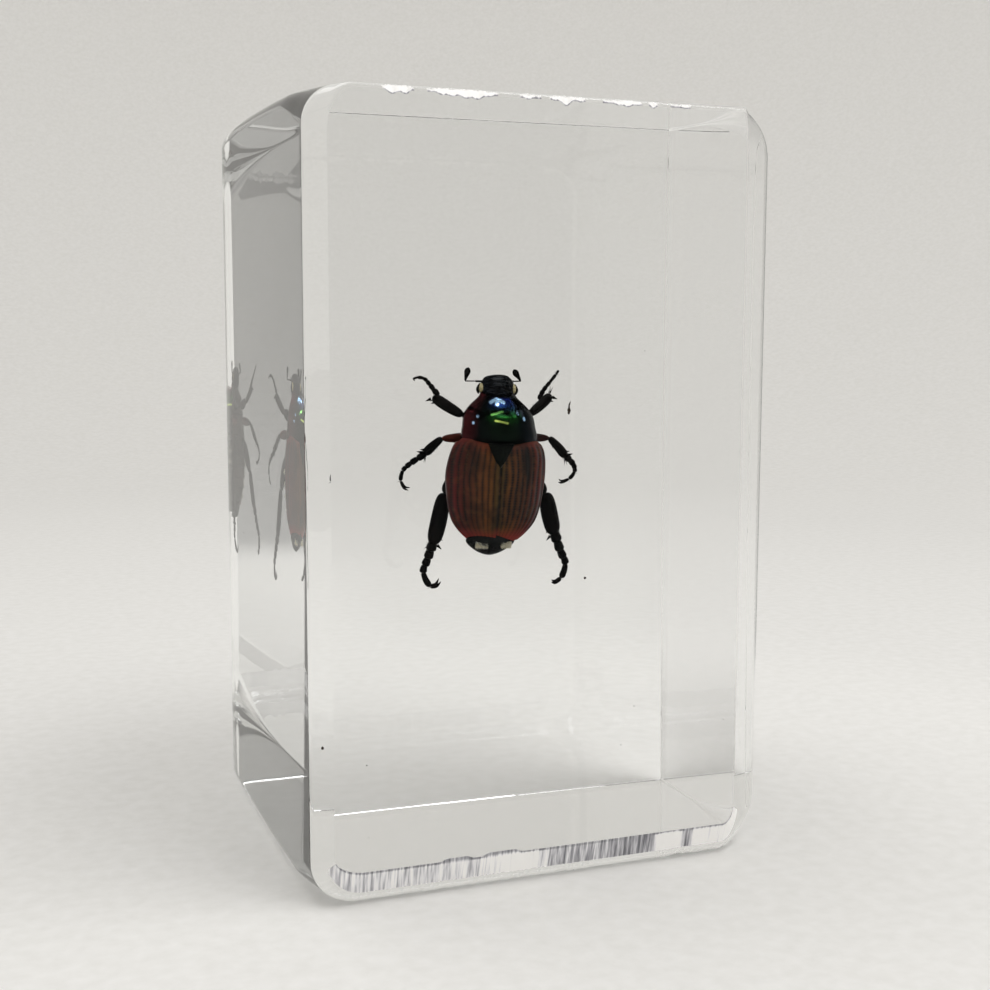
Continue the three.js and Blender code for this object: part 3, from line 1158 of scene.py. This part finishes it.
def makeLeg(name, facts):
    pick = random.Random(name)
    hip, knee, ankle = (Vector(facts[key]) for key in ("hip", "knee", "ankle"))
    thigh = facts["thigh"]
    bm = bmesh.new()
    addForm(bm, (hip + hipSocket, hip + (knee - hip) * 0.12), ((0, thigh * 0.9), (1, thigh * 0.8)),
            ((0, thigh * 0.8), (1, thigh * 0.6)), toBelly, rings=16)
    addForm(bm, (hip, (hip + knee) / 2 + thighSag, knee),
            ((0, thigh * 0.6), (0.45, thigh * 0.72), (1, thigh * 0.45)),
            ((0, thigh * 0.8), (0.45, thigh), (0.85, thigh * 0.75), (1, thigh * 0.55)), toBelly, rings=36)
    thighFinish = finishes["thigh"] if name.startswith("mid") else finishes["legs"]
    makePiece("beetle_thigh_" + name, bm, thighFinish, beetlePlace)

    bm = bmesh.new()
    narrow, wide = facts["shin"]
    along = (ankle - knee).normalized()
    outward = along.cross(toBelly).normalized() * facts["outer"]
    addForm(bm, (knee - along * 0.1, (knee + ankle) / 2 + outward * 0.05, ankle),
            ((0, narrow * 0.7), (0.6, wide * 0.6), (1, wide * 0.6)),
            ((0, narrow * 0.85), (0.35, narrow * 1.1), (0.75, wide), (1, wide * 0.8)), toBelly, rings=44)
    length = (ankle - knee).length
    for i in range(facts["teeth"]):
        # outer teeth, the last one at the end of the shin
        at = knee + along * length * (1.0 - toothPitch * i) + outward * wide * 0.55
        addSpike(bm, at, at + outward * (0.42 - 0.08 * i) + along * 0.30, 0.15)
    for i, turn in enumerate(spurTurns):
        # two long spurs inside the ankle
        at = ankle - outward * wide * 0.4 + Vector((0, 0.1 * turn, 0))
        reach = along * (0.60 - 0.10 * i) + Vector((0, turn * 0.3, 0))
        addSpike(bm, at, at - outward * (0.28 + 0.16 * i) + reach, 0.055)
    for _ in range(bristles):
        # bristles along both edges
        share = pick.uniform(0.15, 0.98)
        way = outward * (1 if pick.random() < 0.5 else -1)
        at = knee + along * length * share + way * wide * 0.62
        tip = at + way * pick.uniform(0.10, 0.24) + along * pick.uniform(0.14, 0.34)
        addSpike(bm, at, tip, 0.016, sides=4)
    foot = [Vector(p) for p in facts["foot"]]
    toe = facts["toe"]
    for i, (low, high) in enumerate(zip(footJoints, footJoints[1:])):
        start, end = curvePoint(foot, low), curvePoint(foot, min(high + jointOverlap, 1))
        middle = curvePoint(foot, (low + high) / 2)
        full = toe * (1.12 - 0.11 * i)
        thickness = ((0, full * 0.8), (0.75, full), (1, full * 0.85))
        addForm(bm, (start, middle, end), thickness, thickness, toBelly, around=16, rings=18)
        heading = (end - start).normalized()
        for turn in (-1, 1):
            inside = heading.cross(toBelly) * turn
            for _ in range(2):
                tip = end + inside * pick.uniform(0.18, 0.32) + heading * pick.uniform(0.10, 0.25)
                addSpike(bm, end, tip + Vector((0, pick.uniform(-0.1, 0.1), 0)), 0.018, sides=4)
    claw = Vector(facts["claw"])
    for turn in (-1, 1):
        reach = claw + Vector((0, 0.12 * turn, 0)) + (claw - foot[-1]).cross(toBelly) * 0.14 * turn
        bend = (foot[-1] + reach) / 2 + (foot[-1] - foot[-2]).normalized() * 0.22
        thickness = ((0, toe * 0.50), (0.5, toe * 0.36), (1, 0.02))
        addForm(bm, (foot[-1], bend, reach), thickness, thickness, toBelly, around=10, rings=18)
    makePiece("beetle_leg_" + name, bm, finishes["legs"], beetlePlace)


makeWingCase(-1, finishes["leftCase"])
makeWingCase(1, finishes["rightCase"])
makePronotum(finishes["pronotum"])
makeScutellum(finishes["scutellum"])
makeHead()
makeAntenna("left")
makeAntenna("right")
makeUnderside()
makeHairTufts()
print("beetle body set")
for legName, legFacts in legs.items():
    makeLeg(legName, legFacts)
print("legs set")


# debris, in the block's frame in mm

# place, size
specks = (
    ((7.08, 0.8, 21.8), 0.10), ((-17.45, -13.2, 11.84), 0.11), ((12.46, 0.8, 41.07), 0.035),
    ((16.9, 4.0, 7.6), 0.035), ((-14.09, -10.2, 3.9), 0.04), ((11.79, 0.8, 10.22), 0.04),
    ((10.57, 0.8, 6.86), 0.04), ((-14.0, -9.0, 9.4), 0.05),
)

fleck = {
    "place": (5.51, 0.8, 36.33),
    "halfWidths": (0.16, 0.06),   # at its lower and its upper end
    "halfDepth": 0.08,
    "halfLength": 0.52,
    "hook": 0.10,
}


def makeDebris():
    pick = random.Random(3)
    bm = bmesh.new()
    for place, size in specks:
        made = bmesh.ops.create_icosphere(bm, subdivisions=2, radius=size)["verts"]
        for vert in made:
            vert.co *= 1 + pick.uniform(-0.35, 0.35)
        bmesh.ops.translate(bm, vec=place, verts=made)
    makePiece("debris_specks", bm, finishes["debris"], Matrix.Identity(4))
    bm = bmesh.new()
    made = bmesh.ops.create_icosphere(bm, subdivisions=4, radius=1.0)["verts"]
    for vert in made:
        crumple = 1 + 0.5 * noise.noise(vert.co * 2.4)
        slim = between(*fleck["halfWidths"], easeStep(-0.5, 0.1, vert.co.z))
        hook = fleck["hook"] * easeStep(0.2, 0.9, vert.co.z)
        x, y, z = vert.co
        vert.co = Vector((x * slim + hook, y * fleck["halfDepth"], z * fleck["halfLength"])) * crumple
    makePiece("debris_fleck", bm, finishes["debris"], Matrix.Translation(fleck["place"]))


makeDebris()
print("debris set")
